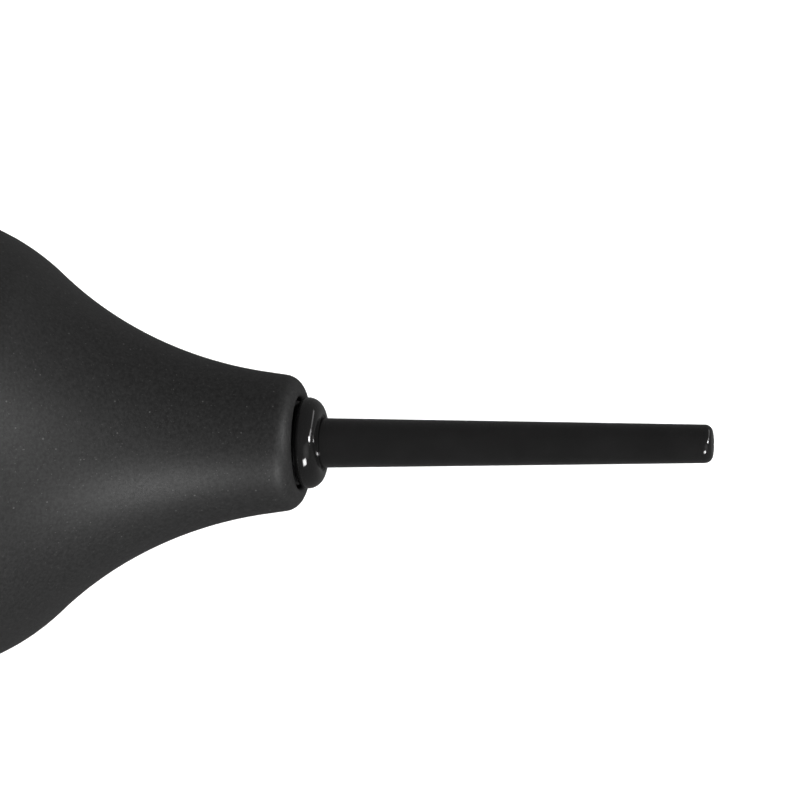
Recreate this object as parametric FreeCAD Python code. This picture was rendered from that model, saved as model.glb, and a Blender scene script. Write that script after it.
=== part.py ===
import FreeCAD, Part

# Dust blower bulb: a hand-squeezed rubber ball with a screw-in nozzle and a one-way air intake.
#
# Millimetres. Everything is round about Z. The blower stands on the foot ring round its intake,
# with the nozzle up, and the origin is the middle of the foot ring's face.
#
# Every outline is drawn in the half plane of radius r and height z, as points (r, z), and is
# turned about Z. Angles in that plane run from +r towards +z.

import math
import os

# Rubber bulb, outside
BALL_RADIUS = 31.0
BALL_CENTRE_Z = 27.5
FLARE_RADIUS = 53.9  # hollow curve from the ball to the neck
NECK_HALF_ANGLE = math.radians(8.25)
LIP_TOP_Z = 81.95
LIP_CREST_RADIUS = 6.52
LIP_ROUND = 2.33
FOOT_ROUND = 2.0

# Rubber bulb, inside
RUBBER = 3.0
BASE_THICKNESS = 3.5
FLOOR_ROUND = 4.0
NECK_PLUG_Z = 64.0  # underside of the solid neck that holds the bush
NECK_PLUG_ROUND = 2.0
NECK_PASSAGE_RADIUS = 4.6
MOUTH_RADIUS = 5.93
MOUTH_ROUND = LIP_CREST_RADIUS - MOUTH_RADIUS

# Recess in the foot for the intake
RECESS_RADIUS = 10.0
RECESS_DEPTH = 2.0
RECESS_ROUND = 0.6
BASE_HOLE_RADIUS = 7.5

# Screw thread between the nozzle and the neck bush, right-handed
PITCH = 2.0
THREAD_TURNS = 2.25
THREAD_FIRST_Z = 70.9  # middle of the nozzle's tooth where it starts
TOOTH_ROOT_RADIUS = 3.7
TOOTH_CREST_RADIUS = 4.35
TOOTH_ROOT_WIDTH = 1.2
TOOTH_CREST_WIDTH = 0.6
THREAD_SIDE_GAP = 0.1
THREAD_CREST_GAP = 0.15
BUSH_THREAD_RADIUS = 3.9
BUSH_THREAD_BOTTOM_Z = 70.0
BUSH_THREAD_TOP_Z = 76.25
GROOVE_TURNS = 5  # from below the threaded wall to above it

# Neck bush
BUSH_BOTTOM_Z = 67.0
BUSH_TOP_Z = 80.45
BUSH_RADIUS = 5.75
BUSH_CLEAR_RADIUS = 4.6
BUSH_GAP = 0.05  # between the bush and the rubber
BARB_COUNT = 3
BARB_PITCH = 3.6
BARB_RISE = 2.6
BARB_HEIGHT = 0.5
BARB_FIRST_Z = 68.2

# Nozzle
NOZZLE_TIP_Z = 135.2
TUBE_BASE_RADIUS = 3.22
TUBE_TAPER = 0.0154  # loss of radius per millimetre of height
TIP_DOME_RADIUS = 12.0
TIP_ROUND = 1.05
OUTLET_RADIUS = 0.6
OUTLET_LENGTH = 2.0
OUTLET_ROUND = 0.2
AIRWAY_RADIUS = 1.7
AIRWAY_CONE = 1.5
COLLAR_RADIUS = 5.9
COLLAR_FRONT_Z = 84.75
COLLAR_BACK_Z = 81.77
COLLAR_FRONT_ROUND = 1.93
COLLAR_BACK_ROUND = 1.0
COLLAR_GROOVE_ROUND = 0.22
SEAL_LAND_RADIUS = 4.3
SEAL_LAND_BOTTOM_Z = 79.2
SPIGOT_BOTTOM_Z = 69.0
SPIGOT_CHAMFER = 0.6

# Seal ring under the nozzle's collar
SEAL_SECTION_RADIUS = 0.6
SEAL_GAP = 0.05

# Air intake in the base
FLANGE_RADIUS = 9.7
FLANGE_BOTTOM_Z = 0.7
CLIP_RADIUS = 8.4  # bead that holds the housing inside the rubber
HOUSING_TOP_Z = 10.0
HOUSING_TOP_RADIUS = 7.2
FILTER_CHAMBER_RADIUS = 6.2
WEB_BOTTOM_Z = 3.6
WEB_TOP_Z = 4.8
SEAT_HEIGHT = 0.3
SEAT_RADII = (5.0, 5.5)
SEAT_HUB_RADIUS = 1.6
WEB_HOLE_COUNT = 8
WEB_HOLE_RADIUS = 0.9
WEB_HOLE_CIRCLE = 3.3
DISC_CHAMBER_RADIUS = 6.3
DISC_RADIUS = 5.7
DISC_THICKNESS = 1.0
DISC_ROUND = 0.35
DISC_SEAT_GAP = 0.02
DISC_TRAVEL = 1.0
CAGE_GAP = 0.05  # left above the disc at the top of its lift
CAGE_STAND_OFF = 0.8
CAGE_RING_HEIGHT = 0.9
CAGE_RING_WIDTH = 1.3
CAGE_HUB_RADIUS = 1.4
CAGE_SPOKES = 3
CAGE_SPOKE_WIDTH = 1.2
COVER_THICKNESS = 1.2
COVER_SLOTS = 8
COVER_SLOT_WIDTH = 0.9
COVER_SLOT_FROM = 2.0
COVER_SLOT_TO = 5.0
FILTER_RADIUS = 6.1
FILTER_GAP = 0.05

BALL_CENTRE = (0.0, BALL_CENTRE_Z)
SEAT_TOP_Z = WEB_TOP_Z + SEAT_HEIGHT
DISC_BOTTOM_Z = SEAT_TOP_Z + DISC_SEAT_GAP
FLOOR_Z = RECESS_DEPTH + BASE_THICKNESS
UP = FreeCAD.Vector(0, 0, 1)
ORIGIN = FreeCAD.Vector(0, 0, 0)


def at(point):
    """An outline point (r, z) in space."""
    return FreeCAD.Vector(point[0], 0, point[1])


def polar(centre, radius, angle):
    return (centre[0] + radius * math.cos(angle), centre[1] + radius * math.sin(angle))


def angle_of(centre, point):
    return math.atan2(point[1] - centre[1], point[0] - centre[0])


def arc(centre, radius, start, end):
    """An outline edge about centre, from angle start to angle end."""
    points = [at(polar(centre, radius, a)) for a in (start, (start + end) / 2, end)]
    return Part.Arc(*points).toShape()


def last_at(point, direction, centre, distance):
    """The furthest point along direction from point that is at that distance from centre."""
    q = (point[0] - centre[0], point[1] - centre[1])
    along = q[0] * direction[0] + q[1] * direction[1]
    t = -along + math.sqrt(along**2 - (q[0] ** 2 + q[1] ** 2) + distance**2)
    return (point[0] + t * direction[0], point[1] + t * direction[1])


def turned(*pieces):
    """The solid made by turning a closed outline about Z.

    Each piece is an edge or a corner point, and straight edges join whatever has a gap between.
    """
    edges = []
    first = None
    last = None
    for piece in pieces:
        is_corner = isinstance(piece, tuple)
        start = at(piece) if is_corner else piece.valueAt(piece.FirstParameter)
        end = start if is_corner else piece.valueAt(piece.LastParameter)
        if last is not None and start.distanceToPoint(last) > 1e-6:
            edges.append(Part.LineSegment(last, start).toShape())
        if not is_corner:
            edges.append(piece)
        first = first or start
        last = end
    if last.distanceToPoint(first) > 1e-6:
        edges.append(Part.LineSegment(last, first).toShape())
    return Part.Face(Part.Wire(edges)).revolve(ORIGIN, UP, 360)


def cylinder(radius, bottom, top, x=0.0, y=0.0):
    return Part.makeCylinder(radius, top - bottom, FreeCAD.Vector(x, y, bottom))


def ring_of(shape, count):
    """That many copies of shape, evenly spaced about Z, as one tool."""
    copies = []
    for n in range(count):
        copy = shape.copy()
        copy.rotate(ORIGIN, UP, 360.0 * n / count)
        copies.append(copy)
    return copies[0].multiFuse(copies[1:])


def barbed_wall(gap):
    """Corners of the bush's barbed outside, from the bottom up, moved outwards by gap."""
    corners = []
    for n in range(BARB_COUNT):
        z = BARB_FIRST_Z + n * BARB_PITCH
        top = z + BARB_RISE + gap
        corners.append((BUSH_RADIUS + gap, z))
        corners.append((BUSH_RADIUS + BARB_HEIGHT + gap, top))
        corners.append((BUSH_RADIUS + gap, top))
    return corners


def bulb():
    """One rubber moulding: foot ring, ball, flare, neck and rounded lip, all hollow."""
    neck_up = (-math.sin(NECK_HALF_ANGLE), math.cos(NECK_HALF_ANGLE))
    neck_out = (math.cos(NECK_HALF_ANGLE), math.sin(NECK_HALF_ANGLE))
    lip_centre = (LIP_CREST_RADIUS, LIP_TOP_Z - LIP_ROUND)
    beside_neck = LIP_ROUND + FLARE_RADIUS
    flare_centre = last_at(
        (lip_centre[0] + beside_neck * neck_out[0], lip_centre[1] + beside_neck * neck_out[1]),
        neck_up,
        BALL_CENTRE,
        BALL_RADIUS + FLARE_RADIUS,
    )
    foot_centre = last_at((0, FOOT_ROUND), (1, 0), BALL_CENTRE, BALL_RADIUS - FOOT_ROUND)
    foot_meets_ball = angle_of(BALL_CENTRE, foot_centre)
    ball_meets_flare = angle_of(BALL_CENTRE, flare_centre)
    flare_start = ball_meets_flare + math.pi
    flare_end = math.pi + NECK_HALF_ANGLE

    inner_ball = BALL_RADIUS - RUBBER
    inner_flare = FLARE_RADIUS + RUBBER
    floor_centre = last_at((0, FLOOR_Z + FLOOR_ROUND), (1, 0), BALL_CENTRE, inner_ball - FLOOR_ROUND)
    floor_meets_ball = angle_of(BALL_CENTRE, floor_centre)
    plug_centre = last_at(
        (flare_centre[0], NECK_PLUG_Z - NECK_PLUG_ROUND),
        (-1, 0),
        flare_centre,
        inner_flare + NECK_PLUG_ROUND,
    )
    flare_meets_plug = angle_of(flare_centre, plug_centre) + 2 * math.pi
    mouth_centre = (LIP_CREST_RADIUS, LIP_TOP_Z - MOUTH_ROUND)
    recess_centre = (RECESS_RADIUS + RECESS_ROUND, RECESS_ROUND)

    return turned(
        arc(foot_centre, FOOT_ROUND, -math.pi / 2, foot_meets_ball),
        arc(BALL_CENTRE, BALL_RADIUS, foot_meets_ball, ball_meets_flare),
        arc(flare_centre, FLARE_RADIUS, flare_start, flare_end),
        arc(lip_centre, LIP_ROUND, NECK_HALF_ANGLE, math.pi / 2),
        arc(mouth_centre, MOUTH_ROUND, math.pi / 2, math.pi),
        (MOUTH_RADIUS, BUSH_TOP_Z),
        (BUSH_RADIUS + BUSH_GAP, BUSH_TOP_Z),
        *reversed(barbed_wall(BUSH_GAP)),
        (BUSH_RADIUS + BUSH_GAP, BUSH_BOTTOM_Z - BUSH_GAP),
        (NECK_PASSAGE_RADIUS, BUSH_BOTTOM_Z - BUSH_GAP),
        (NECK_PASSAGE_RADIUS, NECK_PLUG_Z),
        arc(plug_centre, NECK_PLUG_ROUND, math.pi / 2, flare_meets_plug - math.pi),
        arc(flare_centre, inner_flare, flare_meets_plug, flare_start),
        arc(BALL_CENTRE, inner_ball, ball_meets_flare, floor_meets_ball),
        arc(floor_centre, FLOOR_ROUND, floor_meets_ball, -math.pi / 2),
        (BASE_HOLE_RADIUS, FLOOR_Z),
        (BASE_HOLE_RADIUS, RECESS_DEPTH),
        (RECESS_RADIUS, RECESS_DEPTH),
        arc(recess_centre, RECESS_ROUND, math.pi, 3 * math.pi / 2),
    )


def thread(bottom_z, turns, inner, outer, inner_width, outer_width):
    """A helical tooth of trapezoid section, from radius inner to outer, starting at angle 0."""
    helix = Part.makeHelix(PITCH, PITCH * turns, inner)
    corners = [
        at((inner, -inner_width / 2)),
        at((outer, -outer_width / 2)),
        at((outer, outer_width / 2)),
        at((inner, inner_width / 2)),
    ]
    section = Part.makePolygon(corners + corners[:1])
    tooth = Part.Wire(helix.Edges).makePipeShell([section], True, True)
    tooth.translate(FreeCAD.Vector(0, 0, bottom_z))
    return tooth


def tooth_width(radius):
    """Width of the nozzle's tooth at a radius."""
    share = (radius - TOOTH_ROOT_RADIUS) / (TOOTH_CREST_RADIUS - TOOTH_ROOT_RADIUS)
    return TOOTH_ROOT_WIDTH + share * (TOOTH_CREST_WIDTH - TOOTH_ROOT_WIDTH)


def neck_bush():
    """Hard insert in the rubber neck: barbed outside, threaded inside, clear above and below."""
    body = turned(
        (BUSH_CLEAR_RADIUS, BUSH_BOTTOM_Z),
        (BUSH_RADIUS, BUSH_BOTTOM_Z),
        *barbed_wall(0.0),
        (BUSH_RADIUS, BUSH_TOP_Z),
        (BUSH_CLEAR_RADIUS, BUSH_TOP_Z),
        (BUSH_CLEAR_RADIUS, BUSH_THREAD_TOP_Z),
        (BUSH_THREAD_RADIUS, BUSH_THREAD_TOP_Z),
        (BUSH_THREAD_RADIUS, BUSH_THREAD_BOTTOM_Z),
        (BUSH_CLEAR_RADIUS, BUSH_THREAD_BOTTOM_Z),
    )
    groove_bottom = BUSH_THREAD_RADIUS - THREAD_CREST_GAP
    groove_top = TOOTH_CREST_RADIUS + THREAD_CREST_GAP
    one_turn = thread(
        THREAD_FIRST_Z - PITCH,
        1,
        groove_bottom,
        groove_top,
        tooth_width(groove_bottom) + 2 * THREAD_SIDE_GAP,
        tooth_width(groove_top) + 2 * THREAD_SIDE_GAP,
    )
    for n in range(GROOVE_TURNS):  # a turn at a time, because one long groove isn't cut out
        body = body.cut(one_turn)
        one_turn.translate(FreeCAD.Vector(0, 0, PITCH))
    return body


def tube_radius(z):
    return TUBE_BASE_RADIUS - TUBE_TAPER * (z - COLLAR_FRONT_Z)


def nozzle():
    """One hard moulding: threaded spigot, seal land, rounded collar and smooth tapered tube."""
    taper = math.atan(TUBE_TAPER)
    tube_up = (-math.sin(taper), math.cos(taper))
    dome_centre = (0.0, NOZZLE_TIP_Z - TIP_DOME_RADIUS)
    tip_centre = last_at(
        (tube_radius(COLLAR_FRONT_Z) - TIP_ROUND / math.cos(taper), COLLAR_FRONT_Z),
        tube_up,
        dome_centre,
        TIP_DOME_RADIUS - TIP_ROUND,
    )
    outlet_top = dome_centre[1] + math.sqrt(TIP_DOME_RADIUS**2 - (OUTLET_RADIUS + OUTLET_ROUND) ** 2)
    outlet_centre = (OUTLET_RADIUS + OUTLET_ROUND, outlet_top - OUTLET_ROUND)
    outlet_bottom = outlet_top - OUTLET_LENGTH
    tip_meets_dome = angle_of(dome_centre, tip_centre)
    dome_meets_outlet = angle_of(dome_centre, (outlet_centre[0], outlet_top))
    groove_centre = (TUBE_BASE_RADIUS + COLLAR_GROOVE_ROUND, COLLAR_FRONT_Z)
    front_centre = (COLLAR_RADIUS - COLLAR_FRONT_ROUND, COLLAR_FRONT_Z - COLLAR_FRONT_ROUND)
    back_centre = (COLLAR_RADIUS - COLLAR_BACK_ROUND, COLLAR_BACK_Z + COLLAR_BACK_ROUND)
    core = turned(
        (AIRWAY_RADIUS, SPIGOT_BOTTOM_Z),
        (TOOTH_ROOT_RADIUS - SPIGOT_CHAMFER, SPIGOT_BOTTOM_Z),
        (TOOTH_ROOT_RADIUS, SPIGOT_BOTTOM_Z + SPIGOT_CHAMFER),
        (TOOTH_ROOT_RADIUS, SEAL_LAND_BOTTOM_Z - SPIGOT_CHAMFER),
        (SEAL_LAND_RADIUS, SEAL_LAND_BOTTOM_Z),
        (SEAL_LAND_RADIUS, COLLAR_BACK_Z),
        arc(back_centre, COLLAR_BACK_ROUND, -math.pi / 2, 0.0),
        arc(front_centre, COLLAR_FRONT_ROUND, 0.0, math.pi / 2),
        arc(groove_centre, COLLAR_GROOVE_ROUND, 0.0, -math.pi),
        arc(tip_centre, TIP_ROUND, taper, tip_meets_dome),
        arc(dome_centre, TIP_DOME_RADIUS, tip_meets_dome, dome_meets_outlet),
        arc(outlet_centre, OUTLET_ROUND, math.pi / 2, math.pi),
        (OUTLET_RADIUS, outlet_bottom),
        (AIRWAY_RADIUS, outlet_bottom - AIRWAY_CONE),
    )
    root = TOOTH_ROOT_RADIUS - THREAD_CREST_GAP  # the tooth starts inside the core
    tooth = thread(
        THREAD_FIRST_Z,
        THREAD_TURNS,
        root,
        TOOTH_CREST_RADIUS,
        tooth_width(root),
        TOOTH_CREST_WIDTH,
    )
    return core.fuse(tooth)


def nozzle_seal_ring():
    """Round-section ring that the collar presses onto the bush."""
    major = SEAL_LAND_RADIUS + SEAL_GAP + SEAL_SECTION_RADIUS
    middle_z = BUSH_TOP_Z + SEAL_GAP + SEAL_SECTION_RADIUS
    return Part.makeTorus(major, SEAL_SECTION_RADIUS, FreeCAD.Vector(0, 0, middle_z))


def intake_housing():
    """Valve body: flange in the foot, clip bead inside the rubber, and a seat with air holes."""
    clip_chamfer = CLIP_RADIUS - HOUSING_TOP_RADIUS
    seat_in, seat_out = SEAT_RADII
    upper = turned(
        (0.0, WEB_BOTTOM_Z),
        (FILTER_CHAMBER_RADIUS, WEB_BOTTOM_Z),
        (FILTER_CHAMBER_RADIUS, FLANGE_BOTTOM_Z),
        (FLANGE_RADIUS, FLANGE_BOTTOM_Z),
        (FLANGE_RADIUS, RECESS_DEPTH),
        (BASE_HOLE_RADIUS, RECESS_DEPTH),
        (BASE_HOLE_RADIUS, FLOOR_Z),
        (CLIP_RADIUS, FLOOR_Z),
        (HOUSING_TOP_RADIUS, FLOOR_Z + clip_chamfer),
        (HOUSING_TOP_RADIUS, HOUSING_TOP_Z),
        (DISC_CHAMBER_RADIUS, HOUSING_TOP_Z),
        (DISC_CHAMBER_RADIUS, WEB_TOP_Z),
        (seat_out, WEB_TOP_Z),
        (seat_out, SEAT_TOP_Z),
        (seat_in, SEAT_TOP_Z),
        (seat_in, WEB_TOP_Z),
        (SEAT_HUB_RADIUS, WEB_TOP_Z),
        (SEAT_HUB_RADIUS, SEAT_TOP_Z),
        (0.0, SEAT_TOP_Z),
    )
    hole = cylinder(WEB_HOLE_RADIUS, WEB_BOTTOM_Z - 1, SEAT_TOP_Z, x=WEB_HOLE_CIRCLE)
    return upper.cut(ring_of(hole, WEB_HOLE_COUNT))


def intake_disc():
    """Soft rubber disc that lies on the seat, lifts to let air in and closes under pressure."""
    top = DISC_BOTTOM_Z + DISC_THICKNESS
    edge_bottom = (DISC_RADIUS - DISC_ROUND, DISC_BOTTOM_Z + DISC_ROUND)
    edge_top = (DISC_RADIUS - DISC_ROUND, top - DISC_ROUND)
    return turned(
        (0.0, DISC_BOTTOM_Z),
        arc(edge_bottom, DISC_ROUND, -math.pi / 2, 0.0),
        arc(edge_top, DISC_ROUND, 0.0, math.pi / 2),
        (0.0, top),
    )


def intake_cage():
    """Spoked ring pressed into the housing. The disc's lift stops on the spokes and the hub,
    which reach lower than the ring, so that air still passes under the ring."""
    bottom = DISC_BOTTOM_Z + DISC_THICKNESS + DISC_TRAVEL + CAGE_GAP
    ring_bottom = bottom + CAGE_STAND_OFF
    top = ring_bottom + CAGE_RING_HEIGHT
    ring_bore = DISC_CHAMBER_RADIUS - CAGE_RING_WIDTH
    ring = cylinder(DISC_CHAMBER_RADIUS, ring_bottom, top).cut(cylinder(ring_bore, ring_bottom, top))
    spoke = Part.makeBox(
        ring_bore + CAGE_RING_WIDTH / 2,
        CAGE_SPOKE_WIDTH,
        top - bottom,
        FreeCAD.Vector(0, -CAGE_SPOKE_WIDTH / 2, bottom),
    )
    hub = cylinder(CAGE_HUB_RADIUS, bottom, top)
    return ring.multiFuse([hub, ring_of(spoke, CAGE_SPOKES)]).removeSplitter()


def intake_filter():
    """Foam disc between the cover and the valve's web."""
    bottom = FLANGE_BOTTOM_Z + COVER_THICKNESS + FILTER_GAP
    return cylinder(FILTER_RADIUS, bottom, WEB_BOTTOM_Z - FILTER_GAP)


def intake_cover():
    """Slotted cap that closes the filter chamber from below."""
    top = FLANGE_BOTTOM_Z + COVER_THICKNESS
    plate = cylinder(FILTER_CHAMBER_RADIUS, FLANGE_BOTTOM_Z, top)
    bar = Part.makeBox(
        COVER_SLOT_TO - COVER_SLOT_FROM,
        COVER_SLOT_WIDTH,
        COVER_THICKNESS,
        FreeCAD.Vector(COVER_SLOT_FROM, -COVER_SLOT_WIDTH / 2, FLANGE_BOTTOM_Z),
    )
    ends = [
        cylinder(COVER_SLOT_WIDTH / 2, FLANGE_BOTTOM_Z, top, x=x)
        for x in (COVER_SLOT_FROM, COVER_SLOT_TO)
    ]
    return plate.cut(ring_of(bar.multiFuse(ends), COVER_SLOTS))


def only_solid(shape):
    """The shape's one solid, after checking that there is one and that it is sound."""
    solids = shape.Solids
    if len(solids) != 1 or not solids[0].isValid() or solids[0].Volume <= 0:
        raise ValueError(f"expected one sound solid and found {len(solids)}")
    return solids[0]


PARTS = (
    bulb,
    neck_bush,
    nozzle,
    nozzle_seal_ring,
    intake_housing,
    intake_disc,
    intake_cage,
    intake_filter,
    intake_cover,
)


def main():
    os.makedirs("parts", exist_ok=True)
    for make in PARTS:
        solid = only_solid(make())
        solid.exportStep(os.path.join("parts", make.__name__ + ".step"))
        print(f"{make.__name__}: {solid.Volume / 1000:.3f} cm3")


main()
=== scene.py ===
import math

import bpy
import numpy as np
from mathutils import Matrix, Vector


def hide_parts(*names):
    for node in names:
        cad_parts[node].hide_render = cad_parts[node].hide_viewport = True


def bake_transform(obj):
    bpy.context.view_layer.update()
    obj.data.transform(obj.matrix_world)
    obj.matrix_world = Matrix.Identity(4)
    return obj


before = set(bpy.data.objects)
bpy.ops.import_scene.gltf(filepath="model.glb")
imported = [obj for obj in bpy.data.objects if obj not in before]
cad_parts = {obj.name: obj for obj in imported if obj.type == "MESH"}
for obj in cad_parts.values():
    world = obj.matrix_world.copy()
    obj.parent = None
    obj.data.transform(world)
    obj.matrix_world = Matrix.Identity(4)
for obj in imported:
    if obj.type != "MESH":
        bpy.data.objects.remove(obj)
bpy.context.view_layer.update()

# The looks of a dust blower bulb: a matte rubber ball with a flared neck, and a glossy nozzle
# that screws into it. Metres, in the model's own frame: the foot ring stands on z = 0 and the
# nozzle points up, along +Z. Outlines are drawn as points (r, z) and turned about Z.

MM = 0.001

# Rubber bulb
BALL_RADIUS = 31.0 * MM
BALL_CENTRE = (0.0, 27.5 * MM)
FLARE_RADIUS = 53.9 * MM
NECK_HALF_ANGLE = math.radians(8.25)
LIP_ROUND = 2.33 * MM
LIP_CENTRE = (6.52 * MM, 79.62 * MM)
MOUTH_RADIUS = 5.93 * MM
BUSH_SOCKET_TOP = 80.45 * MM
BUSH_SOCKET_RADIUS = 5.8 * MM
BARB_COUNT = 3
BARB_FIRST_Z = 68.2 * MM
BARB_PITCH = 3.6 * MM
BARB_RISE = 2.65 * MM
BARB_RADIUS = 6.3 * MM
BUSH_SOCKET_FLOOR = 66.95 * MM
PASSAGE_RADIUS = 4.6 * MM
PLUG_BOTTOM = 64.0 * MM
PLUG_ROUND = 2.0 * MM
RUBBER = 3.0 * MM
FLOOR_TOP = 5.5 * MM
FLOOR_ROUND = 4.0 * MM
FOOT_ROUND = 2.0 * MM
BASE_HOLE_RADIUS = 7.5 * MM
RECESS_RADIUS = 10.0 * MM
RECESS_DEPTH = 2.0 * MM
RECESS_ROUND = 0.6 * MM

# Fineness of the bulb's mesh
BULB_SEGMENTS = 192
ARC_STEP = 0.5 * MM
ARC_TURN = math.radians(9)
STRAIGHT_STEP = 1.5 * MM
SHARP_ANGLE = math.radians(32)

# Colours, linear
RUBBER_DARK = (0.012, 0.012, 0.012)
RUBBER_PALE = (0.024, 0.024, 0.024)
DUST_COARSE = (0.072, 0.072, 0.071)
DUST_FINE = (0.046, 0.046, 0.045)
GLOSS_DARK = (0.007, 0.007, 0.007)
GLOSS_PALE = (0.01, 0.01, 0.01)
# The foam's pore colour is painted shade, standing in for the shade inside the pores.
FOAM_PORE_PAINTED_SHADE = (0.015, 0.015, 0.016)
FOAM_STRUT = (0.13, 0.13, 0.135)
FLOOR_COLOUR = (0.86, 0.86, 0.86, 1.0)
WHITE = (1.0, 1.0, 1.0, 1.0)

# Dust specks: the higher the first, the rarer large ones are; the edge is in cells
SPECK_RARITY = 4.0
SPECK_EDGE = 0.05

# Camera: a long lens, low in front, with the picture turned so that the nozzle points right
CAMERA_ELEVATION = math.radians(11.0)
CAMERA_DISTANCE = 449.6 * MM
CAMERA_TARGET_Z = 94.85 * MM
CAMERA_ASIDE = 5.53 * MM
LENS_MM = 157.5
SENSOR_MM = 36.0
CLIP_START = 0.01
CLIP_END = 50.0

# Stage: the object's lights aim at a point on the axis, level with the bulb's lip
FLOOR_SIZE = 12.0
FLOOR_GLOW = 0.4
WORLD_STRENGTH = 0.14
LIGHTS_AIM = (0, 0, 0.08)
STRIP_ALONG = (-0.49, 0.83, -0.31)
UPWARDS = (0, 0, 1)
AWAY = (0, 1, 0)
NO_GRID = 180


# Outlines


def polar(centre, radius, angle):
    return (centre[0] + radius * math.cos(angle), centre[1] + radius * math.sin(angle))


def angle_of(centre, point):
    return math.atan2(point[1] - centre[1], point[0] - centre[0])


def arc(centre, radius, start, end):
    """Points along an arc, at most ARC_STEP and ARC_TURN apart."""
    turn = abs(end - start)
    count = max(2, math.ceil(turn * radius / ARC_STEP), math.ceil(turn / ARC_TURN))
    return [polar(centre, radius, start + (end - start) * n / count) for n in range(count + 1)]


def last_at(point, direction, centre, distance):
    """The furthest point along direction from point that is at that distance from centre."""
    offset = (point[0] - centre[0], point[1] - centre[1])
    along = offset[0] * direction[0] + offset[1] * direction[1]
    beside = offset[0] ** 2 + offset[1] ** 2 - along**2
    reach = math.sqrt(distance**2 - beside) - along
    return (point[0] + reach * direction[0], point[1] + reach * direction[1])


def with_steps(points, step):
    """The closed outline with points added on its long straight stretches."""
    out = []
    for (r, z), (next_r, next_z) in zip(points, points[1:] + points[:1]):
        count = max(1, math.ceil(math.hypot(next_r - r, next_z - z) / step))
        for n in range(count):
            out.append((r + (next_r - r) * n / count, z + (next_z - z) * n / count))
    return out


def without_repeats(points):
    """The closed outline without a point that lies on the one before it."""
    return [p for p, q in zip(points, points[-1:] + points[:-1]) if math.dist(p, q) > 1e-7]


def turned(name, outline, segments):
    """A closed mesh made by turning a closed outline, which doesn't touch the axis, about Z."""
    outline = without_repeats(outline)
    count = len(outline)
    angles = np.arange(segments) * 2 * math.pi / segments
    r, z = np.array(outline).T
    verts = np.stack(
        [
            np.outer(np.cos(angles), r),
            np.outer(np.sin(angles), r),
            np.tile(z, (segments, 1)),
        ],
        axis=-1,
    ).reshape(-1, 3)
    s, p = np.meshgrid(np.arange(segments), np.arange(count), indexing="ij")
    next_s = (s + 1) % segments
    next_p = (p + 1) % count
    corners = (s * count + p, next_s * count + p, next_s * count + next_p, s * count + next_p)
    faces = np.stack(corners, axis=-1).reshape(-1, 4)
    mesh = bpy.data.meshes.new(name)
    mesh.from_pydata(verts.tolist(), [], faces.tolist())
    mesh.validate()
    for polygon in mesh.polygons:
        polygon.use_smooth = True
    mesh.set_sharp_from_angle(angle=SHARP_ANGLE)
    piece = bpy.data.objects.new(name, mesh)
    bpy.context.scene.collection.objects.link(piece)
    return piece


# The rubber bulb


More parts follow.
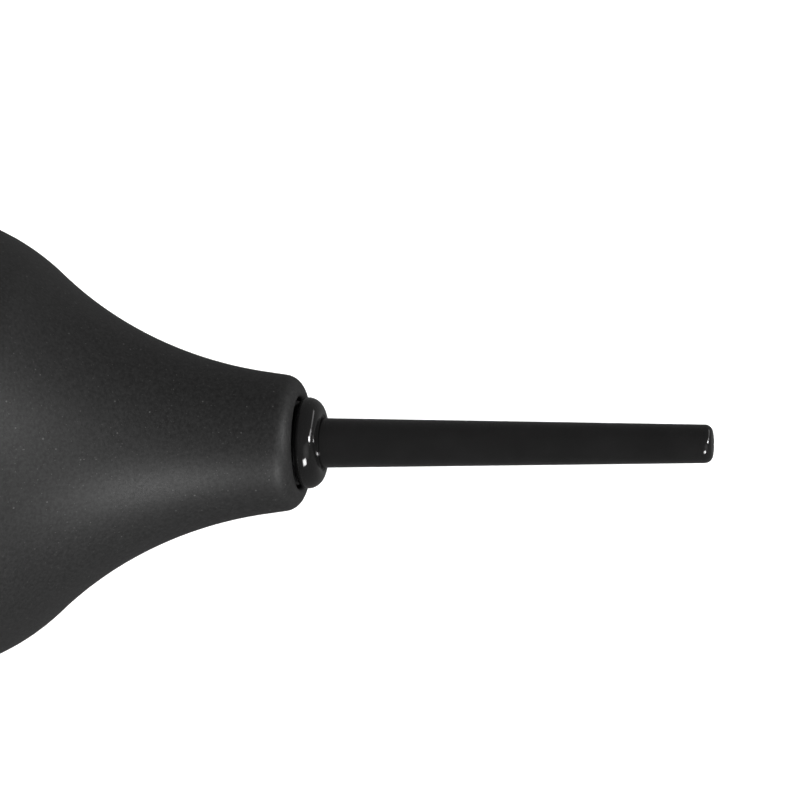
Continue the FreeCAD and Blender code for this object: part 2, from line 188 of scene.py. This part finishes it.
def bulb_outline():
    """Foot, ball, flare, lip, mouth, bush socket, passage, chamber, base hole and recess."""
    neck_up = (-math.sin(NECK_HALF_ANGLE), math.cos(NECK_HALF_ANGLE))
    neck_out = (math.cos(NECK_HALF_ANGLE), math.sin(NECK_HALF_ANGLE))
    beside_neck = LIP_ROUND + FLARE_RADIUS
    flare_centre = last_at(
        (LIP_CENTRE[0] + beside_neck * neck_out[0], LIP_CENTRE[1] + beside_neck * neck_out[1]),
        neck_up,
        BALL_CENTRE,
        BALL_RADIUS + FLARE_RADIUS,
    )
    foot_centre = last_at((0, FOOT_ROUND), (1, 0), BALL_CENTRE, BALL_RADIUS - FOOT_ROUND)
    foot_meets_ball = angle_of(BALL_CENTRE, foot_centre)
    ball_meets_flare = angle_of(BALL_CENTRE, flare_centre)
    flare_start = ball_meets_flare + math.pi
    flare_end = math.pi + NECK_HALF_ANGLE

    inner_ball = BALL_RADIUS - RUBBER
    inner_flare = FLARE_RADIUS + RUBBER
    floor_centre = last_at(
        (0, FLOOR_TOP + FLOOR_ROUND),
        (1, 0),
        BALL_CENTRE,
        inner_ball - FLOOR_ROUND,
    )
    floor_meets_ball = angle_of(BALL_CENTRE, floor_centre)
    plug_centre = last_at(
        (flare_centre[0], PLUG_BOTTOM - PLUG_ROUND),
        (-1, 0),
        flare_centre,
        inner_flare + PLUG_ROUND,
    )
    flare_meets_plug = angle_of(flare_centre, plug_centre) + 2 * math.pi
    mouth_round = LIP_CENTRE[0] - MOUTH_RADIUS
    lip_top = LIP_CENTRE[1] + LIP_ROUND
    mouth_centre = (LIP_CENTRE[0], lip_top - mouth_round)
    recess_centre = (RECESS_RADIUS + RECESS_ROUND, RECESS_ROUND)

    outline = arc(foot_centre, FOOT_ROUND, -math.pi / 2, foot_meets_ball)
    outline += arc(BALL_CENTRE, BALL_RADIUS, foot_meets_ball, ball_meets_flare)
    outline += arc(flare_centre, FLARE_RADIUS, flare_start, flare_end)
    outline += arc(LIP_CENTRE, LIP_ROUND, NECK_HALF_ANGLE, math.pi / 2)
    outline += arc(mouth_centre, mouth_round, math.pi / 2, math.pi)
    outline += [(MOUTH_RADIUS, BUSH_SOCKET_TOP), (BUSH_SOCKET_RADIUS, BUSH_SOCKET_TOP)]
    for n in reversed(range(BARB_COUNT)):
        bottom = BARB_FIRST_Z + n * BARB_PITCH
        top = bottom + BARB_RISE
        outline += [(BUSH_SOCKET_RADIUS, top), (BARB_RADIUS, top), (BUSH_SOCKET_RADIUS, bottom)]
    outline += [(BUSH_SOCKET_RADIUS, BUSH_SOCKET_FLOOR), (PASSAGE_RADIUS, BUSH_SOCKET_FLOOR)]
    outline += arc(plug_centre, PLUG_ROUND, math.pi / 2, flare_meets_plug - math.pi)
    outline += arc(flare_centre, inner_flare, flare_meets_plug, flare_start)
    outline += arc(BALL_CENTRE, inner_ball, ball_meets_flare, floor_meets_ball)
    outline += arc(floor_centre, FLOOR_ROUND, floor_meets_ball, -math.pi / 2)
    outline += [(BASE_HOLE_RADIUS, FLOOR_TOP), (BASE_HOLE_RADIUS, RECESS_DEPTH)]
    outline += [(RECESS_RADIUS, RECESS_DEPTH)]
    outline += arc(recess_centre, RECESS_ROUND, math.pi, 3 * math.pi / 2)
    return with_steps(outline, STRAIGHT_STEP)


def make_bulb():
    bulb = turned("bulb_rubber_skin", bulb_outline(), BULB_SEGMENTS)
    bulb.data.materials.append(rubber_material())
    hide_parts("bulb")
    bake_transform(bulb)


# Materials


class Look:
    """A new node material, with a short way to add and join its nodes."""

    def __init__(self, name):
        self.material = bpy.data.materials.new(name)
        self.material.use_nodes = True
        self.tree = self.material.node_tree
        self.shader = self.tree.nodes["Principled BSDF"]
        self.place = self.add("ShaderNodeTexCoord").outputs["Object"]

    def add(self, kind):
        return self.tree.nodes.new(kind)

    def join(self, output, target):
        self.tree.links.new(output, target)

    def noise(self, scale, detail=2.0, roughness=0.5):
        """Soft clouds, with about scale of them to the metre."""
        node = self.add("ShaderNodeTexNoise")
        node.inputs["Scale"].default_value = scale
        node.inputs["Detail"].default_value = detail
        node.inputs["Roughness"].default_value = roughness
        self.join(self.place, node.inputs["Vector"])
        return node.outputs["Fac"]

    def cells(self, scale):
        """Cells around scattered points, with scale of them to the metre."""
        node = self.add("ShaderNodeTexVoronoi")
        node.inputs["Scale"].default_value = scale
        self.join(self.place, node.inputs["Vector"])
        return node

    def specks(self, scale, largest):
        """1 on round specks scattered at random, most far smaller than largest, in cells."""
        cells = self.cells(scale)
        channels = self.add("ShaderNodeSeparateColor")
        self.join(cells.outputs["Color"], channels.inputs["Color"])
        share = self.maths("POWER", channels.outputs["Red"], SPECK_RARITY)
        size = self.maths("MULTIPLY", share, largest)
        inside = self.maths("SUBTRACT", size, cells.outputs["Distance"])
        return self.spread(inside, (0.0, SPECK_EDGE))

    def spread(self, value, source, result=(0.0, 1.0)):
        """value taken from the range source to the range result, and held at the ends."""
        node = self.add("ShaderNodeMapRange")
        node.inputs["From Min"].default_value = source[0]
        node.inputs["From Max"].default_value = source[1]
        node.inputs["To Min"].default_value = result[0]
        node.inputs["To Max"].default_value = result[1]
        self.join(value, node.inputs["Value"])
        return node.outputs["Result"]

    def maths(self, operation, a, b):
        """The operation on a and b; each is a number or another node's output."""
        node = self.add("ShaderNodeMath")
        node.operation = operation
        for socket, value in zip(node.inputs, (a, b)):
            self.give(socket, value)
        return node.outputs["Value"]

    def colours(self, share, first, second):
        """A colour between first and second; each is a colour or another node's output."""
        node = self.add("ShaderNodeMix")
        node.data_type = "RGBA"
        self.join(share, node.inputs["Factor"])
        ends = [socket for socket in node.inputs if socket.type == "RGBA"]
        for socket, value in zip(ends, (first, second)):
            self.give(socket, (*value, 1.0) if isinstance(value, tuple) else value)
        return [socket for socket in node.outputs if socket.type == "RGBA"][0]

    def bump(self, height, distance, strength=1.0):
        """Shades the surface as if height, which goes from 0 to 1, raised it by distance."""
        node = self.add("ShaderNodeBump")
        node.inputs["Distance"].default_value = distance
        node.inputs["Strength"].default_value = strength
        self.join(height, node.inputs["Height"])
        self.join(node.outputs["Normal"], self.shader.inputs["Normal"])

    def give(self, socket, value):
        """Sets the input to a number or a colour, or joins it to another node's output."""
        if isinstance(value, (int, float, tuple)):
            socket.default_value = value
        else:
            self.join(value, socket)

    def surface(self, **values):
        """Gives the shader's inputs their values."""
        for name, value in values.items():
            self.give(self.shader.inputs[name.replace("_", " ")], value)


def rubber_material():
    """Matte black rubber with a fine mould grain and a scatter of pale dust specks."""
    look = Look("bulb_rubber_matte")
    mottle = look.spread(look.noise(2400.0, detail=3.0, roughness=0.6), (0.34, 0.66))
    body = look.colours(mottle, RUBBER_DARK, RUBBER_PALE)
    dusted = look.colours(look.specks(1500.0, largest=0.22), body, DUST_COARSE)
    colour = look.colours(look.specks(2900.0, largest=0.3), dusted, DUST_FINE)
    roughness = look.spread(look.noise(3100.0), (0.3, 0.7), (0.48, 0.56))
    look.surface(Base_Color=colour, Roughness=roughness, IOR=1.5, Specular_IOR_Level=0.42)
    look.bump(look.noise(5200.0, roughness=0.6), distance=0.03 * MM, strength=0.5)
    return look.material


def gloss_plastic_material():
    """Polished black plastic with faint haze and very slight ripple from the mould."""
    look = Look("nozzle_plastic_gloss")
    haze = look.noise(240.0, detail=3.0, roughness=0.55)
    colour = look.colours(look.spread(haze, (0.3, 0.7)), GLOSS_DARK, GLOSS_PALE)
    roughness = look.spread(haze, (0.3, 0.7), (0.07, 0.11))
    look.surface(Base_Color=colour, Roughness=roughness, IOR=1.6)
    look.bump(look.noise(150.0, detail=1.0), distance=0.02 * MM, strength=0.3)
    return look.material


def moulded_material(name, dark, pale, roughness):
    """Plain moulded plastic or rubber with a fine grain, from dark to pale."""
    look = Look(name)
    cloud = look.spread(look.noise(300.0, detail=3.0), (0.3, 0.7))
    rough = look.spread(look.noise(700.0), (0.3, 0.7), (roughness - 0.05, roughness + 0.05))
    look.surface(Base_Color=look.colours(cloud, dark, pale), Roughness=rough, IOR=1.48)
    look.bump(look.noise(2600.0), distance=0.02 * MM, strength=0.5)
    return look.material


def foam_material():
    """Open-cell foam: pores bumped in as hollows and painted dark as shade, between paler struts.
    """
    look = Look("filter_foam_cells")
    pore_hollows_and_shade = look.spread(look.cells(2400.0).outputs["Distance"], (0.15, 0.5))
    # The pores' dark colour is painted shade; the bump below makes the same pores real hollows.
    look.surface(Base_Color=look.colours(pore_hollows_and_shade, FOAM_PORE_PAINTED_SHADE, FOAM_STRUT), Roughness=0.95)
    look.bump(pore_hollows_and_shade, distance=0.15 * MM)
    return look.material


def dress(node, material):
    """Gives a CAD node its material."""
    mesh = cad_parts[node].data
    mesh.materials.clear()
    mesh.materials.append(material)


def dress_cad_nodes():
    intake = moulded_material(
        "intake_plastic_grain",
        dark=(0.022, 0.022, 0.024),
        pale=(0.03, 0.03, 0.032),
        roughness=0.5,
    )
    seal = moulded_material(
        "seal_rubber_smooth",
        dark=(0.009, 0.009, 0.009),
        pale=(0.014, 0.014, 0.014),
        roughness=0.4,
    )
    bush = moulded_material(
        "bush_nylon_dark",
        dark=(0.033, 0.033, 0.033),
        pale=(0.045, 0.045, 0.045),
        roughness=0.45,
    )
    disc = moulded_material(
        "disc_silicone_grey",
        dark=(0.38, 0.38, 0.37),
        pale=(0.45, 0.45, 0.43),
        roughness=0.45,
    )
    cage = moulded_material(
        "cage_nylon_natural",
        dark=(0.56, 0.55, 0.5),
        pale=(0.64, 0.63, 0.58),
        roughness=0.4,
    )
    dress("nozzle", gloss_plastic_material())
    dress("nozzle_seal_ring", seal)
    dress("neck_bush", bush)
    dress("intake_housing", intake)
    dress("intake_cover", intake)
    dress("intake_disc", disc)
    dress("intake_cage", cage)
    dress("intake_filter", foam_material())


# Stage


def make_floor():
    mesh = bpy.data.meshes.new("floor")
    half = FLOOR_SIZE / 2
    corners = [(-half, -half, 0), (half, -half, 0), (half, half, 0), (-half, half, 0)]
    mesh.from_pydata(corners, [], [(0, 1, 2, 3)])
    floor = bpy.data.objects.new("floor", mesh)
    bpy.context.scene.collection.objects.link(floor)
    look = Look("floor_pale")
    look.surface(Base_Color=FLOOR_COLOUR, Roughness=0.9, Specular_IOR_Level=0.0)
    look.surface(Emission_Color=WHITE, Emission_Strength=FLOOR_GLOW)
    mesh.materials.append(look.material)
    floor.visible_glossy = False


def softbox(name, place, aim, size, power, spread, along=UPWARDS, shows=True):
    """A softbox with a honeycomb grid, which keeps its light within spread degrees.

    size is its width and its length, which is turned towards along. One that doesn't show is
    left out of reflections.
    """
    back = (Vector(place) - Vector(aim)).normalized()
    along = Vector(along)
    tall = (along - along.dot(back) * back).normalized()
    wide = tall.cross(back)
    light = bpy.data.lights.new(name, "AREA")
    light.shape = "RECTANGLE"
    light.size, light.size_y = size
    light.energy = power
    light.spread = math.radians(spread)
    lamp = bpy.data.objects.new(name, light)
    turn = Matrix((wide, tall, back)).transposed().to_4x4()
    lamp.matrix_world = Matrix.Translation(place) @ turn
    lamp.visible_glossy = shows
    bpy.context.scene.collection.objects.link(lamp)


def lip_light(name, across, depth, height, **settings):
    """A softbox aimed at the bulb's lip, and placed from there."""
    place = (across, depth, LIGHTS_AIM[2] + height)
    softbox(name, place, LIGHTS_AIM, **settings)


def floor_light(name, across, depth, height, **settings):
    """A softbox that hangs over the floor and lights it straight down."""
    softbox(name, (across, depth, height), (across, depth, 0), along=AWAY, **settings)


def make_lights():
    lip_light("key", 0.51, -0.388, 0.28, size=(0.19, 0.3), power=0.18, spread=40)
    lip_light("fill", 0.33, -0.67, 0.67, size=(0.7, 0.9), power=0.1, spread=60)
    lip_light("top_front", -0.093, -0.265, 0.747, size=(0.12, 0.14), power=0.09, spread=40)
    strip = {"spread": NO_GRID, "along": STRIP_ALONG}
    lip_light("strip_near", -0.173, -0.13, 0.687, size=(0.1, 0.3), power=0.5, **strip)
    lip_light("strip_far", -0.376, 0.204, 0.58, size=(0.1, 0.48), power=0.24, **strip)
    hidden = {"spread": 64, "shows": False}
    floor_light("floor_strip", 0, 1.0, 0.9, size=(0.3, 2.0), power=3.2, **hidden)
    floor_light("floor_far", 0, 1.75, 0.9, size=(1.0, 0.9), power=2.2, **hidden)
    floor_light("floor_side", -0.45, 0.2, 0.5, size=(0.3, 0.3), power=0.2, spread=50)


def make_world():
    world = bpy.data.worlds.new("studio")
    world.use_nodes = True
    background = world.node_tree.nodes["Background"]
    background.inputs["Color"].default_value = WHITE
    background.inputs["Strength"].default_value = WORLD_STRENGTH
    bpy.context.scene.world = world
    bpy.context.scene.view_settings.view_transform = "Standard"


def make_camera():
    """Looks down at the blower by the camera's elevation, with +Z to the right of the picture."""
    back = Vector((0, -math.cos(CAMERA_ELEVATION), math.sin(CAMERA_ELEVATION)))
    up = Vector((-1, 0, 0))
    right = up.cross(back)
    camera = bpy.data.objects.new("camera", bpy.data.cameras.new("camera"))
    camera.data.lens = LENS_MM
    camera.data.sensor_width = SENSOR_MM
    camera.data.clip_start = CLIP_START
    camera.data.clip_end = CLIP_END
    target = Vector((-CAMERA_ASIDE, 0, CAMERA_TARGET_Z))
    turn = Matrix((right, up, back)).transposed().to_4x4()
    camera.matrix_world = Matrix.Translation(target + CAMERA_DISTANCE * back) @ turn
    bpy.context.scene.collection.objects.link(camera)
    bpy.context.scene.camera = camera


make_camera()
make_bulb()
dress_cad_nodes()
make_floor()
make_lights()
make_world()
